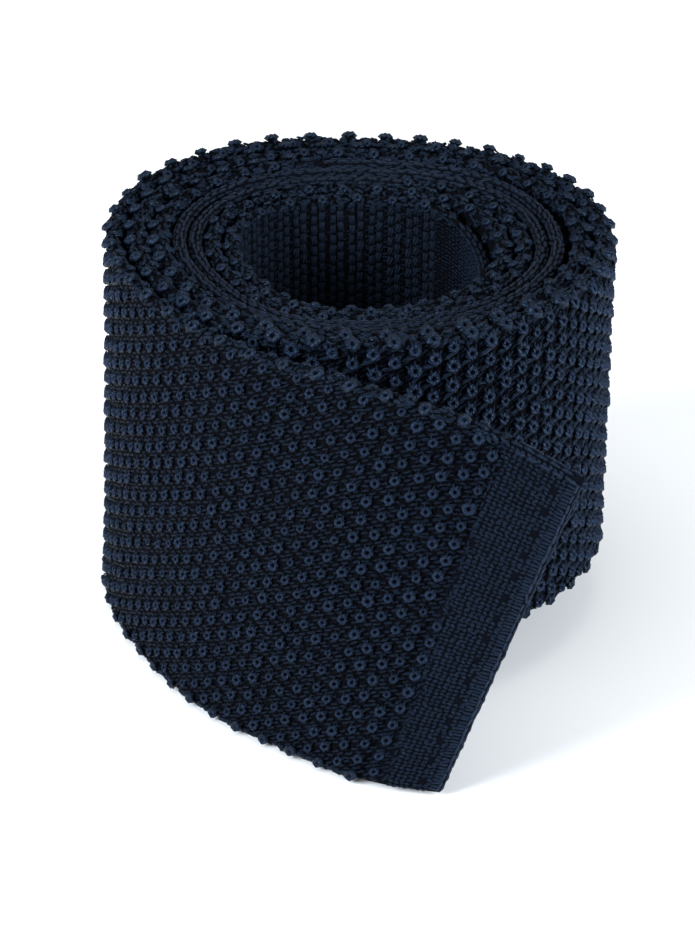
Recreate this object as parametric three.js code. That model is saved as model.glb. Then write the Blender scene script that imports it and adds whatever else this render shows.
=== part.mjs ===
import * as THREE from "three";

// A square-ended knit tie, rolled up from its narrow end and stood on its edge.
// Millimetres, +Z up. The cloth rests on the plane z = 0, and the origin is the
// middle of its footprint there. Turns are counted along the winding from the
// narrow end, which lies in the hole on the +X side, and run anticlockwise as
// seen from above.

// Widths of the cloth, edge to edge
const frontBladeWidth = 63;
const lastWrapWidth = 53.2;
const neckWidth = 42;
const rearBladeWidth = 50;

// Thicknesses of the knit, and how far its edges are rounded
const frontBladeThickness = 3.2;
const frontEndThickness = 2.4;
const neckThickness = 2;
const rearBladeThickness = 2.6;
const rearEndThickness = 2.2;
const edgeRounding = 0.8;

// Lengths of the plain-knitted bands at the two ends
const frontEndBandLength = 11.5;
const rearEndBandLength = 12.5;

// The roll: the hole, the air between its wraps, and how many turns each part
// of the cloth takes
const holeRadius = 18.2;
const wrapClearance = 0.42;
const looseWrapClearance = 1;
const rearBladeTurns = 2.2;
const neckTurns = 2.08;
const frontBladeTurns = 1.97;

// How far the rim sinks towards the hole, and the corner of the narrow end
const rimDish = 2.7;
const rearCornerDrop = 4;

// The free end: the turns it sweeps round the roll, and how far its tip stands out
const freeSweepTurns = 0.572;
const endReach = 28.5;

// The slit between neighbouring pieces
const pieceClearance = 0.3;

// Turns over which the knit changes thickness, and over which the loose wrap and
// the dropped corner ease back
const thicknessChangeTurns = 1 / 12;
const looseSpreadTurns = 0.2;
const cornerSpreadTurns = 0.165;

// How fine the bends are: rings of points to a turn, the least share of a step
// that one may take, and the stride used to measure along the cloth
const stepsPerTurn = 48;
const leastStepShare = 0.25;
const strideTurns = 0.001;

const bladeKnit = new THREE.MeshStandardMaterial({ color: 0x14213a, roughness: 0.85, metalness: 0 });
const neckKnit = new THREE.MeshStandardMaterial({ color: 0x101b31, roughness: 0.8, metalness: 0 });
const bandKnit = new THREE.MeshStandardMaterial({ color: 0x182642, roughness: 0.82, metalness: 0 });

// Turns at which the cloth changes
const rearBladeEnd = rearBladeTurns;
const neckEnd = rearBladeEnd + neckTurns;
const rollEnd = neckEnd + frontBladeTurns;
const clothEnd = rollEnd + freeSweepTurns;
const rearBandTurns = rearEndBandLength / (2 * Math.PI * (holeRadius + rearBladeThickness / 2));

// Reads one column of a table at a place, smoothly and without overshoot.
function readTable(rows, column, place) {
  const last = rows.length - 1;
  if (place <= rows[0].at) return rows[0][column];
  if (place >= rows[last].at) return rows[last][column];
  const riseAfter = (k) => (rows[k + 1][column] - rows[k][column]) / (rows[k + 1].at - rows[k].at);
  const slopeAt = (k) => {
    if (k === 0) return riseAfter(0);
    if (k === last) return riseAfter(last - 1);
    const before = riseAfter(k - 1);
    const after = riseAfter(k);
    return before * after > 0 ? (2 * before * after) / (before + after) : 0;
  };
  let i = 0;
  while (rows[i + 1].at < place) i += 1;
  const span = rows[i + 1].at - rows[i].at;
  const t = (place - rows[i].at) / span;
  const blend = t * t * (3 - 2 * t);
  const bulge = slopeAt(i) * span * t * (1 - t) * (1 - t) - slopeAt(i + 1) * span * t * t * (1 - t);
  return THREE.MathUtils.lerp(rows[i][column], rows[i + 1][column], blend) + bulge;
}

// Thickness along the winding, easing from one part of the cloth to the next.
function thicknessAt(turn) {
  const reach = thicknessChangeTurns / 2;
  const change = (from, to, place) => {
    const eased = THREE.MathUtils.smoothstep(turn, place - reach, place + reach);
    return THREE.MathUtils.lerp(from, to, eased);
  };
  const rear = change(rearEndThickness, rearBladeThickness, rearBandTurns);
  const neck = change(rear, neckThickness, rearBladeEnd);
  return change(neck, frontBladeThickness, neckEnd);
}

// Width along the winding: the rear blade narrows just before the neck, and the
// front blade flares to its full width just before its free end begins.
const rearRows = [
  { at: 0, share: 1 },
  { at: 0.75, share: 0.9 },
  { at: 1, share: 0 },
];
const frontRows = [
  { at: 0, share: 0 },
  { at: 0.86, share: 1 },
];
const flareRows = [
  { at: 0.86, share: 0 },
  { at: 0.975, share: 1 },
];
function widthAt(turn) {
  const rearShare = readTable(rearRows, "share", turn / rearBladeTurns);
  const frontPlace = (turn - neckEnd) / frontBladeTurns;
  const frontShare = readTable(frontRows, "share", frontPlace);
  const flareShare = readTable(flareRows, "share", frontPlace);
  return (
    neckWidth +
    (rearBladeWidth - neckWidth) * rearShare +
    (lastWrapWidth - neckWidth) * frontShare +
    (frontBladeWidth - lastWrapWidth) * flareShare
  );
}

// The roll isn't quite round. Out is the share of the hole's radius by which all
// the wraps stand out or in, by their place in the turn.
const roundnessRows = [
  { at: 0, out: -0.02 },
  { at: 0.12, out: 0.005 },
  { at: 0.25, out: -0.045 },
  { at: 0.38, out: 0.045 },
  { at: 0.57, out: -0.075 },
  { at: 0.7, out: 0.065 },
  { at: 0.8, out: 0.03 },
  { at: 0.92, out: -0.02 },
  { at: 1, out: -0.02 },
];

// The first thick wrap lies loosely round the neck on the right, most of all a
// little past the roll's +X side.
const pastTheSide = 0.06;
const looseTurn = Math.ceil(neckEnd) + pastTheSide;
function loosenessAt(turn) {
  const away = Math.abs(turn - looseTurn) / looseSpreadTurns;
  return looseWrapClearance * (1 - THREE.MathUtils.smoothstep(away, 0, 1));
}

// Radius of the middle of the cloth. The first turn is a plain spiral, and each
// later one lies on the turn inside it.
const radii = new Map();
function radiusAtStep(step) {
  if (!radii.has(step)) {
    const turn = step / stepsPerTurn;
    const firstTurn = holeRadius * (1 + readTable(roundnessRows, "out", turn));
    const spiral = rearBladeThickness / 2 + turn * (rearBladeThickness + wrapClearance);
    const inner = step < stepsPerTurn ? 0 : radiusAtStep(step - stepsPerTurn);
    const halves = (thicknessAt(turn) + thicknessAt(turn - 1)) / 2;
    const wound = inner + halves + wrapClearance + loosenessAt(turn);
    radii.set(step, step < stepsPerTurn ? firstTurn + spiral : wound);
  }
  return radii.get(step);
}

// A point of the plan, some way outside the middle of the wound cloth.
function planPoint(turn, outward) {
  const step = Math.floor(turn * stepsPerTurn);
  const share = turn * stepsPerTurn - step;
  const radius = THREE.MathUtils.lerp(radiusAtStep(step), radiusAtStep(step + 1), share) + outward;
  const angle = turn * 2 * Math.PI;
  return new THREE.Vector3(radius * Math.cos(angle), radius * Math.sin(angle), 0);
}

// The free end, by the share of its length. Lower and upper say how much of the
// sweep each edge of the cloth has come through, kick and lift how far that edge
// stands out as a share of endReach, and drop how much of its height is lost.
const freeRows = [
  { at: 0, lower: 0, kick: 0, upper: 0, lift: 0, drop: 0 },
  { at: 0.22, lower: 0.218, kick: 0.03, upper: 0.248, lift: 0, drop: 0 },
  { at: 0.43, lower: 0.445, kick: 0.07, upper: 0.51, lift: 0, drop: 0 },
  { at: 0.574, lower: 0.586, kick: 0.075, upper: 0.674, lift: 0.005, drop: 0 },
  { at: 0.716, lower: 0.717, kick: 0.16, upper: 0.819, lift: 0.18, drop: 0 },
  { at: 0.787, lower: 0.777, kick: 0.255, upper: 0.877, lift: 0.375, drop: 0.002 },
  { at: 0.858, lower: 0.83, kick: 0.395, upper: 0.928, lift: 0.57, drop: 0.022 },
  { at: 0.922, lower: 0.872, kick: 0.57, upper: 0.967, lift: 0.725, drop: 0.07 },
  { at: 1, lower: 0.927, kick: 0.74, upper: 1.003, lift: 1, drop: 0.14 },
];

// The lower and upper edges of the cloth at one place along it.
function edgesAt(turn) {
  const along = (turn - rollEnd) / freeSweepTurns;
  const low = planPoint(
    Math.min(turn, rollEnd) + freeSweepTurns * readTable(freeRows, "lower", along),
    endReach * readTable(freeRows, "kick", along));
  const high = planPoint(
    Math.min(turn, rollEnd) + freeSweepTurns * readTable(freeRows, "upper", along),
    endReach * readTable(freeRows, "lift", along));
  const dish = rimDish * (1 - Math.min(turn / rollEnd, 1));
  const cornerDrop = rearCornerDrop * (1 - THREE.MathUtils.smoothstep(turn, 0, cornerSpreadTurns));
  const rim = frontBladeWidth - dish;
  low.z = Math.max(0, rim - widthAt(Math.min(turn, rollEnd)));
  high.z = rim - cornerDrop - frontBladeWidth * readTable(freeRows, "drop", along);
  return { low, high };
}

// The place a given length further on along the middle of the cloth.
function walk(fromTurn, length) {
  const middle = (turn) => {
    const { low, high } = edgesAt(turn);
    return low.add(high).multiplyScalar(0.5);
  };
  const stride = strideTurns * Math.sign(length);
  let turn = fromTurn;
  let walked = 0;
  while (walked < Math.abs(length)) {
    walked += middle(turn).distanceTo(middle(turn + stride));
    turn += stride;
  }
  return turn;
}

// One ring of points round the section of the cloth. It is flat underneath, where
// the tie stands on its edge, and rounded above, where the crown of the edge rises
// by a quarter of the rounding.
const mostRoundingShare = 0.8;
const crownShare = 0.25;
function sectionAt(turn, thickness) {
  const { low, high } = edgesAt(turn);
  const ahead = edgesAt(turn + 2 * strideTurns);
  const behind = edgesAt(turn - 2 * strideTurns);
  const outwardAt = (edge) => {
    const way = ahead[edge].clone().sub(behind[edge]);
    return new THREE.Vector3(way.y, -way.x, 0).normalize();
  };
  const up = high.clone().sub(low).normalize();
  const lowOut = outwardAt("low");
  const highOut = outwardAt("high");
  const half = thickness / 2;
  const rounding = Math.min(edgeRounding, mostRoundingShare * half);
  const crown = crownShare * rounding;
  const below = (out, rise) => low.clone().addScaledVector(lowOut, out).addScaledVector(up, rise);
  const above = (out, fall) => high.clone().addScaledVector(highOut, out).addScaledVector(up, -fall);
  return [
    below(rounding - half, 0),
    below(half - rounding, 0),
    below(half, rounding),
    above(half, rounding),
    above(half - rounding, crown),
    above(0, 0),
    above(rounding - half, crown),
    above(-half, rounding),
    below(-half, rounding),
  ];
}

// A closed strip of cloth between two places along the winding.
function strip(fromTurn, toTurn, thicknessOf) {
  const leastStep = leastStepShare / stepsPerTurn;
  const turns = [fromTurn];
  for (let step = Math.ceil(fromTurn * stepsPerTurn); step < toTurn * stepsPerTurn; step += 1) {
    const turn = step / stepsPerTurn;
    if (turn - fromTurn > leastStep && toTurn - turn > leastStep) turns.push(turn);
  }
  turns.push(toTurn);
  const rings = turns.map((turn) => sectionAt(turn, thicknessOf(turn)));
  const around = rings[0].length;
  const faces = [];
  for (let r = 0; r < rings.length - 1; r += 1) {
    for (let k = 0; k < around; k += 1) {
      const here = r * around + k;
      const beside = r * around + ((k + 1) % around);
      faces.push(here, here + around, beside, beside, here + around, beside + around);
    }
  }
  const lastRing = (rings.length - 1) * around;
  for (let k = 1; k < around - 1; k += 1) {
    faces.push(0, k, k + 1);
    faces.push(lastRing, lastRing + k + 1, lastRing + k);
  }
  const geometry = new THREE.BufferGeometry();
  const places = rings.flat().flatMap((point) => point.toArray());
  geometry.setAttribute("position", new THREE.Float32BufferAttribute(places, 3));
  geometry.setIndex(faces);
  geometry.computeVertexNormals();
  return geometry;
}

// The five pieces, each by the turns where it begins and ends
const frontBandStart = walk(clothEnd, -frontEndBandLength);
const rearBandEnd = walk(0, rearEndBandLength);
const slitAfter = (turn) => walk(turn, pieceClearance);
const pieces = [
  { name: "rear_end_band", from: 0, to: rearBandEnd, knit: bandKnit },
  { name: "rear_blade", from: slitAfter(rearBandEnd), to: rearBladeEnd, knit: bladeKnit },
  { name: "neck", from: slitAfter(rearBladeEnd), to: neckEnd, knit: neckKnit },
  { name: "front_blade", from: slitAfter(neckEnd), to: frontBandStart, knit: bladeKnit },
  { name: "front_end_band", from: slitAfter(frontBandStart), to: clothEnd, knit: bandKnit },
];

const tie = new THREE.Group();
for (const { name, from, to, knit } of pieces) {
  const thicknessOf = name === "front_end_band" ? () => frontEndThickness : thicknessAt;
  const mesh = new THREE.Mesh(strip(from, to, thicknessOf), knit);
  mesh.name = name;
  tie.add(mesh);
}

// The footprint's middle goes to the origin.
const footprint = new THREE.Box3().setFromObject(tie);
const middle = footprint.getCenter(new THREE.Vector3());
for (const mesh of tie.children) mesh.geometry.translate(-middle.x, -middle.y, 0);

export default tie;
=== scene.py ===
import math

import bpy
import numpy as np
from mathutils import Matrix, Vector


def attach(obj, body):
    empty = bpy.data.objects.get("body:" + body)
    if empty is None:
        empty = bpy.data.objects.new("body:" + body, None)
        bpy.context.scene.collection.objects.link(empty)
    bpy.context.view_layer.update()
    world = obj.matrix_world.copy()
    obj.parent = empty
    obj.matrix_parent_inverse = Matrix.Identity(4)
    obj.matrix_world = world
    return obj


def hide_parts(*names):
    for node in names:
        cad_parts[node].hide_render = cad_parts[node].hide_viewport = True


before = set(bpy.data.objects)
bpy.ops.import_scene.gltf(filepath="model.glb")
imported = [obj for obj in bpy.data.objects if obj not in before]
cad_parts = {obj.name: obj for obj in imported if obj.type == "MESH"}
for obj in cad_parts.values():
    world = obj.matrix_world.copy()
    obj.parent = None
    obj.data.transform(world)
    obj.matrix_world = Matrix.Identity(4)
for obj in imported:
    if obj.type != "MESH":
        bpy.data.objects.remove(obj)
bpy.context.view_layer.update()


# Front blade, ground cloth
# The wide blade is one thickness of navy yarn, machine-knitted as a flat strip. Here it
# is cut flat, wound into the roll with its end left loose, and given its thickness.
# All lengths of the cloth are in millimetres, and turns are counted from the narrow end.

FRONT_WIDTH = 63.0
LAST_WRAP_WIDTH = 53.2
NECK_WIDTH = 42.0
REAR_WIDTH = 50.0
FRONT_THICKNESS = 3.2
NECK_THICKNESS = 2.0
REAR_THICKNESS = 2.6
REAR_END_THICKNESS = 2.2
REAR_END_BAND = 12.5
HOLE_RADIUS = 18.2
WRAP_GAP = 0.42
LOOSE_WRAP_GAP = 1.0
REAR_TURNS = 2.2
NECK_TURNS = 2.08
FRONT_TURNS = 1.97
SWEEP_TURNS = 0.572
END_REACH = 28.5
RIM_DISH = 2.7
REAR_CORNER_DROP = 4.0

NECK_START = REAR_TURNS
FRONT_START = NECK_START + NECK_TURNS
ROLL_END = FRONT_START + FRONT_TURNS
CLOTH_END = ROLL_END + SWEEP_TURNS
REAR_BAND_TURNS = REAR_END_BAND / (2 * math.pi * (HOLE_RADIUS + REAR_THICKNESS / 2))

# Turns on either side of a change of knit over which the thickness eases, and turns over
# which the loose wrap and the dropped corner of the narrow end ease back
THICKNESS_EASE = 1 / 24
LOOSE_WRAP_TURN = math.ceil(FRONT_START) + 0.06
LOOSE_WRAP_SPREAD = 0.2
CORNER_SPREAD = 1.6 * REAR_BAND_TURNS

# How finely the winding is worked out: steps to a turn, steps before its start, turns past
# its end, and the stride used to find its direction
FINE_STEPS = 480
STEPS_BEFORE = 2
TURNS_PAST = 0.1
STRIDE = 0.001


def ease(low, high, place):
    share = np.clip((place - low) / (high - low), 0, 1)
    return share * share * (3 - 2 * share)


def read(rows, column, place):
    """One column of a table at some places, smoothly and without overshoot."""
    at = np.array([row["at"] for row in rows], float)
    values = np.array([row[column] for row in rows], float)
    rise = np.diff(values) / np.diff(at)
    slope = np.zeros(len(at))
    slope[0], slope[-1] = rise[0], rise[-1]
    product = rise[:-1] * rise[1:]
    total = rise[:-1] + rise[1:]
    safe = np.where(product > 0, total, 1)
    slope[1:-1] = np.where(product > 0, 2 * product / safe, 0)
    place = np.clip(np.asarray(place, float), at[0], at[-1])
    i = np.clip(np.searchsorted(at, place, side="right") - 1, 0, len(at) - 2)
    span = at[i + 1] - at[i]
    t = (place - at[i]) / span
    blend = t * t * (3 - 2 * t)
    bulge = slope[i] * span * t * (1 - t) ** 2 - slope[i + 1] * span * t * t * (1 - t)
    return values[i] * (1 - blend) + values[i + 1] * blend + bulge


def thickness_at(turn):
    """Thin band, rear blade, thin neck and thick front blade, easing at each change."""
    thickness = REAR_END_THICKNESS + 0 * turn
    for place, to in ((REAR_BAND_TURNS, REAR_THICKNESS), (NECK_START, NECK_THICKNESS),
                      (FRONT_START, FRONT_THICKNESS)):
        share = ease(place - THICKNESS_EASE, place + THICKNESS_EASE, turn)
        thickness = thickness * (1 - share) + to * share
    return thickness


REAR_TAPER = [{"at": 0, "share": 1}, {"at": 0.75, "share": 0.9}, {"at": 1, "share": 0}]
FRONT_TAPER = [{"at": 0, "share": 0}, {"at": 0.86, "share": 1}]
FLARE = [{"at": 0.86, "share": 0}, {"at": 0.975, "share": 1}]


def width_at(turn):
    front = (turn - FRONT_START) / FRONT_TURNS
    return (NECK_WIDTH + (REAR_WIDTH - NECK_WIDTH) * read(REAR_TAPER, "share", turn / REAR_TURNS)
            + (LAST_WRAP_WIDTH - NECK_WIDTH) * read(FRONT_TAPER, "share", front)
            + (FRONT_WIDTH - LAST_WRAP_WIDTH) * read(FLARE, "share", front))


ROUNDNESS = [
    {"at": 0, "out": -0.02}, {"at": 0.12, "out": 0.005}, {"at": 0.25, "out": -0.045},
    {"at": 0.38, "out": 0.045}, {"at": 0.57, "out": -0.075}, {"at": 0.7, "out": 0.065},
    {"at": 0.8, "out": 0.03}, {"at": 0.92, "out": -0.02}, {"at": 1, "out": -0.02},
]


def wind():
    """Radius of the middle of the cloth at fine steps, each turn lying on the last."""
    steps = np.arange(-STEPS_BEFORE, int((CLOTH_END + TURNS_PAST) * FINE_STEPS))
    turns = steps / FINE_STEPS
    thickness = thickness_at(turns)
    away = np.abs(turns - LOOSE_WRAP_TURN) / LOOSE_WRAP_SPREAD
    loose = LOOSE_WRAP_GAP * (1 - ease(0, 1, away))
    radius = HOLE_RADIUS * (1 + read(ROUNDNESS, "out", turns))
    radius += REAR_THICKNESS / 2 + turns * (REAR_THICKNESS + WRAP_GAP)
    for i in range(FINE_STEPS + STEPS_BEFORE, len(turns)):
        inside = i - FINE_STEPS
        halves = (thickness[i] + thickness[inside]) / 2
        radius[i] = radius[inside] + halves + WRAP_GAP + loose[i]
    return turns, radius


wound_turns, wound_radius = wind()


def plan(turn, outward):
    """Points of the plan, some way outside the middle of the wound cloth."""
    radius = np.interp(turn, wound_turns, wound_radius) + outward
    angle = turn * 2 * math.pi
    return np.stack([radius * np.cos(angle), radius * np.sin(angle), 0 * radius], -1)


LOOSE_END = [
    {"at": 0, "lower": 0, "kick": 0, "upper": 0, "lift": 0, "drop": 0},
    {"at": 0.22, "lower": 0.218, "kick": 0.03, "upper": 0.248, "lift": 0, "drop": 0},
    {"at": 0.43, "lower": 0.445, "kick": 0.07, "upper": 0.51, "lift": 0, "drop": 0},
    {"at": 0.574, "lower": 0.586, "kick": 0.075, "upper": 0.674, "lift": 0.005, "drop": 0},
    {"at": 0.716, "lower": 0.717, "kick": 0.16, "upper": 0.819, "lift": 0.18, "drop": 0},
    {"at": 0.787, "lower": 0.777, "kick": 0.255, "upper": 0.877, "lift": 0.375, "drop": 0.002},
    {"at": 0.858, "lower": 0.83, "kick": 0.395, "upper": 0.928, "lift": 0.57, "drop": 0.022},
    {"at": 0.922, "lower": 0.872, "kick": 0.57, "upper": 0.967, "lift": 0.725, "drop": 0.07},
    {"at": 1, "lower": 0.927, "kick": 0.74, "upper": 1.003, "lift": 1, "drop": 0.14},
]


def edges(turn):
    """Lower and upper edge of the cloth, about the roll's axis."""
    along = (turn - ROLL_END) / SWEEP_TURNS
    start = np.minimum(turn, ROLL_END)
    low = plan(start + SWEEP_TURNS * read(LOOSE_END, "lower", along),
               END_REACH * read(LOOSE_END, "kick", along))
    high = plan(start + SWEEP_TURNS * read(LOOSE_END, "upper", along),
                END_REACH * read(LOOSE_END, "lift", along))
    rim = FRONT_WIDTH - RIM_DISH * (1 - np.minimum(turn / ROLL_END, 1))
    corner = REAR_CORNER_DROP * (1 - ease(0, CORNER_SPREAD, turn))
    low[..., 2] = np.maximum(0, rim - width_at(np.minimum(turn, ROLL_END)))
    high[..., 2] = rim - corner - FRONT_WIDTH * read(LOOSE_END, "drop", along)
    return low, high


def unit(vectors):
    return vectors / np.linalg.norm(vectors, axis=-1, keepdims=True)


def cloth(turn, share, outward=0):
    """Place, way along, way up and way out of the cloth at a share of its width."""
    turn, share, outward = np.broadcast_arrays(
        np.asarray(turn, float), np.asarray(share, float), np.asarray(outward, float))
    share = share[..., None]

    def middle(places):
        low, high = edges(places)
        return low + (high - low) * share

    along = unit(middle(turn + STRIDE) - middle(turn - STRIDE))
    low, high = edges(turn)
    up = unit(high - low)
    out = unit(np.cross(along, up))
    return low + (high - low) * share + out * outward[..., None], along, up, out


# Where the roll's axis stands in the frame
ROLL_AXIS = np.array([1.559, 12.223, 0.0])


# The repeat of the ring stitches along the cloth at some turns and across it, how far
# they stand out of the cloth where they show and where they are pressed in the roll, and
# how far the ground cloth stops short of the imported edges
STITCH_LENGTH = 5.8
STITCH_LENGTHS = [
    {"at": 5.0, "length": STITCH_LENGTH}, {"at": 6.2, "length": STITCH_LENGTH},
    {"at": 6.4, "length": 6.1}, {"at": 6.52, "length": 6.0}, {"at": 6.66, "length": 5.45},
    {"at": 6.82, "length": 5.4},
]
ROW_HEIGHT = 3.06
ROWS = FRONT_WIDTH / ROW_HEIGHT
PROUD = 0.8
WOUND_PROUD = 0.4
EDGE_INSET = 0.3
LENGTH_PLACES = 6000


def measure_length():
    """Length along the middle of the cloth, at fine steps of the winding."""
    turns = np.linspace(0, CLOTH_END, LENGTH_PLACES)
    low, high = edges(turns)
    middle = (low + high) / 2
    lengths = np.linalg.norm(np.diff(middle, axis=0), axis=1)
    return turns, np.concatenate([[0], np.cumsum(lengths)])


length_turns, lengths_along = measure_length()


def turn_of(length):
    return np.interp(length, lengths_along, length_turns)


def length_of(turn):
    return np.interp(turn, length_turns, lengths_along)


stitch_lengths = read(STITCH_LENGTHS, "length", (length_turns[1:] + length_turns[:-1]) / 2)
stitches_along = np.concatenate([[0], np.cumsum(np.diff(lengths_along) / stitch_lengths)])


def mesh_piece(name, points, loops, sizes, uv=None):
    """A mesh object from points in millimetres about the roll's axis."""
    mesh = bpy.data.meshes.new(name)
    mesh.vertices.add(len(points))
    mesh.vertices.foreach_set("co", ((points + ROLL_AXIS) / 1000).astype(np.float32).ravel())
    mesh.loops.add(len(loops))
    mesh.loops.foreach_set("vertex_index", np.asarray(loops, np.int32))
    mesh.polygons.add(len(sizes))
    sizes = np.asarray(sizes, np.int32)
    starts = np.concatenate([[0], np.cumsum(sizes)[:-1]]).astype(np.int32)
    mesh.polygons.foreach_set("loop_start", starts)
    if uv is not None:
        layer = mesh.uv_layers.new(name="knit")
        layer.data.foreach_set("uv", uv[loops].astype(np.float32).ravel())
    mesh.polygons.foreach_set("use_smooth", np.full(len(sizes), True))
    mesh.update(calc_edges=True)
    mesh.validate()
    piece = bpy.data.objects.new(name, mesh)
    bpy.context.scene.collection.objects.link(piece)
    return piece


RIM_STEPS = 5


def ribbon(name, from_turn, to_turn, thickness_of, insets, step=1.1, rows=22):
    """A closed strip of cloth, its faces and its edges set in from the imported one's.
    Insets gives the outer and the inner face's at some turns."""
    count = int((length_of(to_turn) - length_of(from_turn)) / step) + 2
    turn = turn_of(np.linspace(length_of(from_turn), length_of(to_turn), count))
    low, high = edges(turn)
    width = np.linalg.norm(high - low, axis=-1)[:, None]
    outer_inset, inner_inset = (inset + 0 * turn for inset in insets(turn))
    thick = thickness_of(turn)
    half = ((thick - outer_inset - inner_inset) / 2)[:, None]
    centre = ((inner_inset - outer_inset) / 2)[:, None]
    climb = np.linspace(0, 1, rows)[None, :]
    over = np.linspace(0, math.pi, RIM_STEPS)[None, 1:-1]
    base, crown = half + EDGE_INSET, width - half - EDGE_INSET
    outer_v, outer_out = base + (crown - base) * climb, half + 0 * climb
    top_v, top_out = crown + half * np.sin(over), half * np.cos(over)
    below_v, below_out = base - half * np.sin(over), -half * np.cos(over)
    v = np.concatenate([outer_v, top_v, outer_v[:, ::-1], below_v], 1)
    out = centre + np.concatenate([outer_out, top_out, -outer_out, below_out], 1)
    points = cloth(turn[:, None], v / width, out)[0]
    along_count, around = v.shape
    ring = np.arange(around)
    here = (np.arange(along_count - 1)[:, None] * around + ring).ravel()
    beside = (np.arange(along_count - 1)[:, None] * around + (ring + 1) % around).ravel()
    quads = np.stack([here, here + around, beside + around, beside], 1).ravel()
    last = (along_count - 1) * around
    loops = np.concatenate([quads, ring, (last + ring)[::-1]])
    sizes = np.concatenate([np.full(len(here), 4), [around, around]])
    count_along = np.interp(turn, length_turns, stitches_along)[:, None]
    uv = np.stack([np.broadcast_to(count_along, v.shape), v / width * ROWS], -1).reshape(-1, 2)
    return mesh_piece(name, points.reshape(-1, 3), loops, sizes, uv)


YARN_TWIST = (3.1, 1.35)
YARN_SHEEN = (0.42, 0.66, 1.0)


def new_material(name, rough):
    """A material, its shader, and its nodes and links to add to."""
    material = bpy.data.materials.new(name)
    material.use_nodes = True
    shader = material.node_tree.nodes["Principled BSDF"]
    shader.inputs["Roughness"].default_value = rough
    return material, shader, material.node_tree.nodes, material.node_tree.links


def yarn_finish(name, colour, shade_colour, rough=0.5, gloss=0.28):
    """Navy yarn: fine filaments along it, and painted shade, darker where it sinks into the cloth.
    """
    material, shader, nodes, links = new_material(name, rough)
    shader.inputs["Specular IOR Level"].default_value = gloss
    shader.inputs["Specular Tint"].default_value = (*YARN_SHEEN, 1)
    place = nodes.new("ShaderNodeTexCoord")
    patches = nodes.new("ShaderNodeTexNoise")
    patches.inputs["Scale"].default_value = 2200
    patches.inputs["Detail"].default_value = 3
    links.new(place.outputs["Object"], patches.inputs["Vector"])
    fibres = nodes.new("ShaderNodeUVMap")
    fibres.uv_map = "knit"
    spread = nodes.new("ShaderNodeMapping")
    spread.inputs["Scale"].default_value = (*YARN_TWIST, 1)
    spread.inputs["Rotation"].default_value = (0, 0, math.pi / 4)
    links.new(fibres.outputs["UV"], spread.inputs["Vector"])
    strand = nodes.new("ShaderNodeTexWave")
    strand.inputs["Scale"].default_value = 1
    strand.inputs["Distortion"].default_value = 2.5
    strand.inputs["Detail"].default_value = 2
    strand.inputs["Detail Scale"].default_value = 2
    links.new(spread.outputs["Vector"], strand.inputs["Vector"])
    # Painted shade: the sunk parts of each stitch and the gaps between its plies take the shade
    # colour, broken by random patches
    depth = nodes.new("ShaderNodeAttribute")
    depth.attribute_name = "shade_height"
    shade = depth.outputs["Fac"]
    for part, weight in ((patches.outputs["Fac"], 1.7), (strand.outputs["Fac"], 0.45)):
        blend = nodes.new("ShaderNodeMath")
        blend.operation = "MULTIPLY_ADD"
        blend.inputs[1].default_value = weight
        links.new(part, blend.inputs[0])
        links.new(shade, blend.inputs[2])
        shade = blend.outputs["Value"]
    ramp = nodes.new("ShaderNodeMapRange")
    ramp.interpolation_type = "SMOOTHSTEP"
    ramp.inputs["From Min"].default_value = 1.2
    ramp.inputs["From Max"].default_value = 2.3
    links.new(shade, ramp.inputs["Value"])
    tone = nodes.new("ShaderNodeMix")
    tone.data_type = "RGBA"
    tone.inputs["A"].default_value = (*shade_colour, 1)
    tone.inputs["B"].default_value = (*colour, 1)
    links.new(ramp.outputs["Result"], tone.inputs["Factor"])
    links.new(tone.outputs["Result"], shader.inputs["Base Color"])
    bump = nodes.new("ShaderNodeBump")
    bump.inputs["Strength"].default_value = 1.0
    bump.inputs["Distance"].default_value = 0.00014
    links.new(strand.outputs["Fac"], bump.inputs["Height"])
    links.new(bump.outputs["Normal"], shader.inputs["Normal"])
    return material


def ground_finish(name, colour, shade_colour, across=(0.5, 2.0)):
    """The cloth between the stitches: rows of short dashes of yarn, their gaps dark with painted
    shade.
    """
    material, shader, nodes, links = new_material(name, 0.9)
    shader.inputs["Specular IOR Level"].default_value = 0.04
    fibres = nodes.new("ShaderNodeUVMap")
    fibres.uv_map = "knit"
    spread = nodes.new("ShaderNodeMapping")
    spread.inputs["Scale"].default_value = (*across, 1)
    links.new(fibres.outputs["UV"], spread.inputs["Vector"])
    dashes = nodes.new("ShaderNodeTexBrick")
    dashes.inputs["Scale"].default_value = 1
    dashes.inputs["Brick Width"].default_value = 0.11
    dashes.inputs["Row Height"].default_value = 0.5
    dashes.inputs["Mortar Size"].default_value = 0.035
    dashes.inputs["Mortar Smooth"].default_value = 1.0
    dashes.inputs["Color1"].default_value = (*colour, 1)
    dashes.inputs["Color2"].default_value = (*(0.75 * c for c in colour), 1)
    dashes.inputs["Mortar"].default_value = (*shade_colour, 1)
    links.new(spread.outputs["Vector"], dashes.inputs["Vector"])
    links.new(dashes.outputs["Color"], shader.inputs["Base Color"])
    bump = nodes.new("ShaderNodeBump")
    bump.inputs["Strength"].default_value = 0.8
    bump.inputs["Distance"].default_value = 0.0004
    bump.invert = True
    links.new(dashes.outputs["Fac"], bump.inputs["Height"])
    links.new(bump.outputs["Normal"], shader.inputs["Normal"])
    return material


# The ground cloth is the same navy yarn painted near black, as shade between the rings, and darker
# still in the gaps between its dashes, as painted shade
SHADED_GROUND_COLOUR = (0.0015, 0.0020, 0.0041)
GROUND_GAP_SHADE = (0.0010, 0.0012, 0.0019)
FRONT_END_BAND = 11.5

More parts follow.
